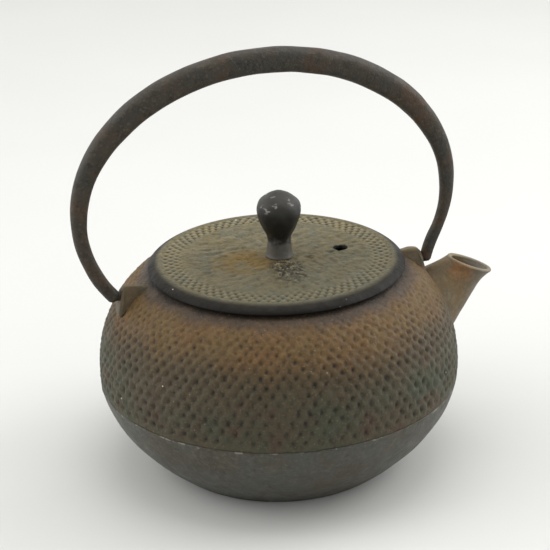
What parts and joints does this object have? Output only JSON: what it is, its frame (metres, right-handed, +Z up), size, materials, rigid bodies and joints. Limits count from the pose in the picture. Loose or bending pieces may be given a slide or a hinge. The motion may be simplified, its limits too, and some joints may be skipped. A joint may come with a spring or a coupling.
{
  "type": "cast iron teapot",
  "caption": "Squat round teapot with a hobnailed cast shell, short flared spout, swinging bail handle, lift-off lid with a bud knob, and a lift-out mesh infuser basket.",
  "frame": {"origin": "centre of the flat base, on the surface the teapot stands on", "axes": "+Z up through the lid, +X towards the spout, and +Y to the left of the spout"},
  "size_m": [0.1784, 0.15, 0.176],
  "materials": {
    "bowl_iron": "smooth dark grey cast iron with faint brown stains",
    "shell_iron": "hobnailed cast iron with an ochre rust bloom on the shoulder",
    "spout_iron": "smooth cast iron with thin brown rust",
    "lug_iron": "cast iron with thin brown rust",
    "lid_iron": "worn grey-olive cast iron, rough in the middle",
    "knob_iron": "near-black cast iron, rubbed smooth",
    "bail_iron": "charcoal iron with reddish rust patches",
    "rivet_steel": "dulled steel",
    "basket_steel": "stainless sheet and woven mesh"
  },
  "bodies": {
    "pot": {"lower_bowl": "bowl_iron", "upper_shell": "shell_iron", "spout": "spout_iron", "front_lug": "lug_iron", "rear_lug": "lug_iron"},
    "bail": {"bail_handle": "bail_iron", "front_pin": "bail_iron", "rear_pin": "bail_iron"},
    "basket": {"basket_rim": "basket_steel", "basket_mesh": "basket_steel", "basket_hoop": "basket_steel", "basket_floor": "basket_steel"},
    "lid": {"lid": "lid_iron", "knob": "knob_iron", "knob_rivet": "rivet_steel", "knob_washer": "rivet_steel"}
  },
  "joints": [
    {"name": "bail_swing", "type": "hinge", "parent": "pot", "child": "bail", "pos_m": [0, 0, 0.079], "axis": [1, 0, 0], "range_deg": [-106, 106]},
    {"name": "basket_lift", "type": "slide", "parent": "pot", "child": "basket", "axis": [0, 0, 1], "range_m": [0, 0.045]},
    {"name": "lid_lift", "type": "slide", "parent": "basket", "child": "lid", "axis": [0, 0, 1], "range_m": [0, 0.045]}
  ]
}
